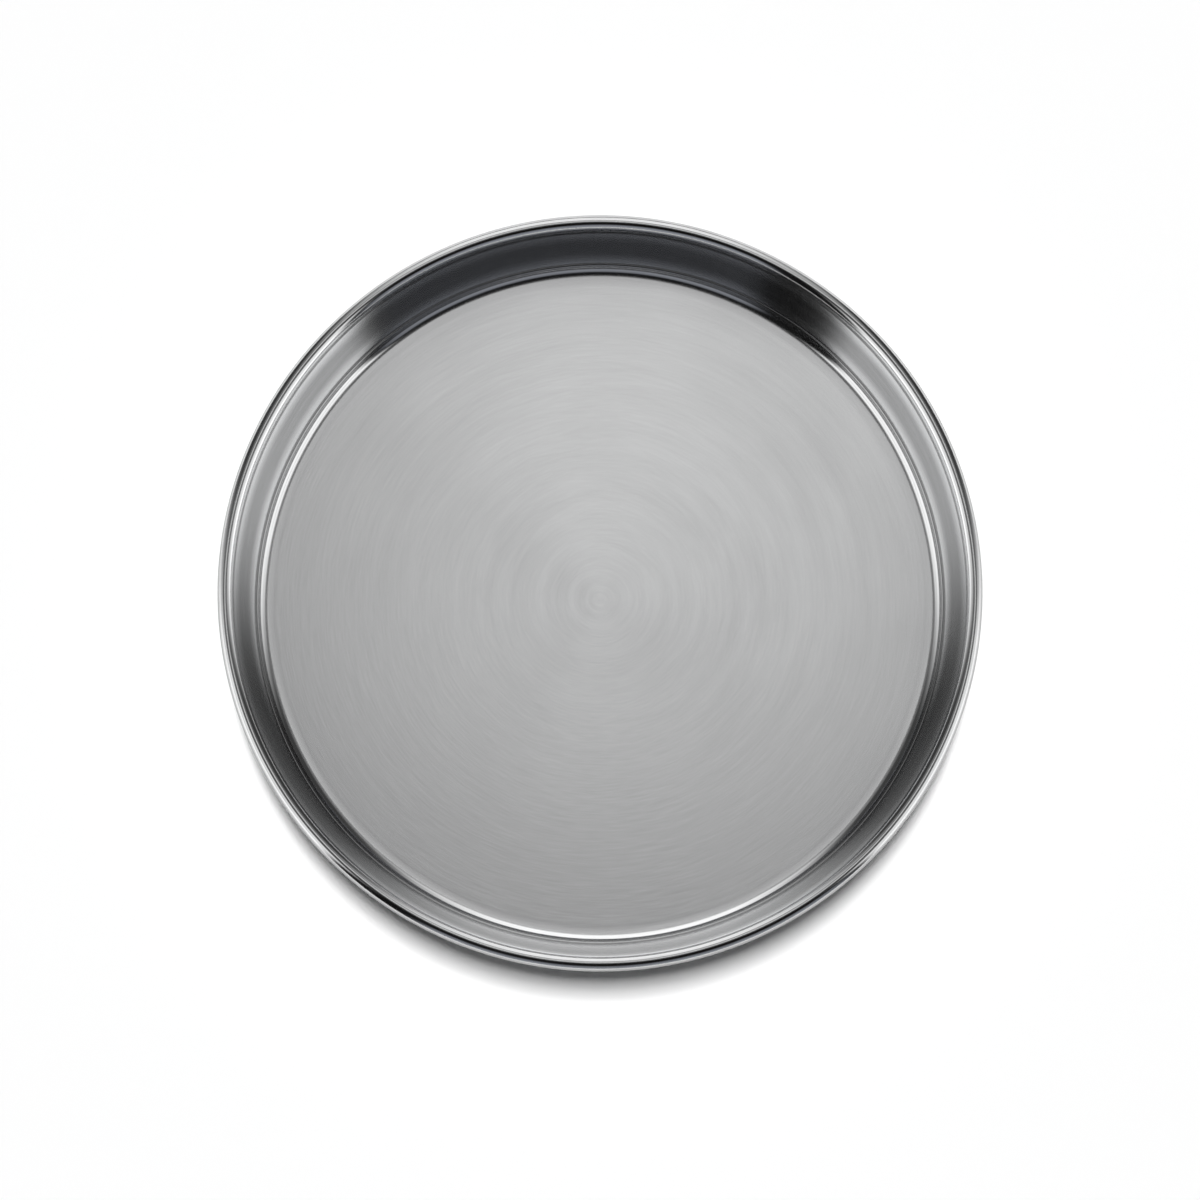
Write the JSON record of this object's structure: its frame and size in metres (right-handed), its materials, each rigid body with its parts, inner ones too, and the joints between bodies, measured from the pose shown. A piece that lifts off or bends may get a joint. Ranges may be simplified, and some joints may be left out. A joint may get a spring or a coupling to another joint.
{
  "type": "dough kneading plate",
  "caption": "Round, shallow stainless-steel dough kneading plate with a flat brushed floor, a small foot step, a leaning wall and a curled, wired rim.",
  "frame": {"origin": "centre of the flat underside, on the plate's axis", "axes": "+Z along the plate's axis, out of its open side; the plate is round, so X and Y are free"},
  "size_m": [0.3, 0.3, 0.038],
  "materials": {
    "shell_steel": "stainless sheet with circular brushing, satin on the floor and brighter on the wall, foot step and rim",
    "wire_steel": "drawn stainless wire, plain"
  },
  "bodies": {
    "root": {"plate_shell": "shell_steel", "rim_wire": "wire_steel"}
  },
  "joints": []
}
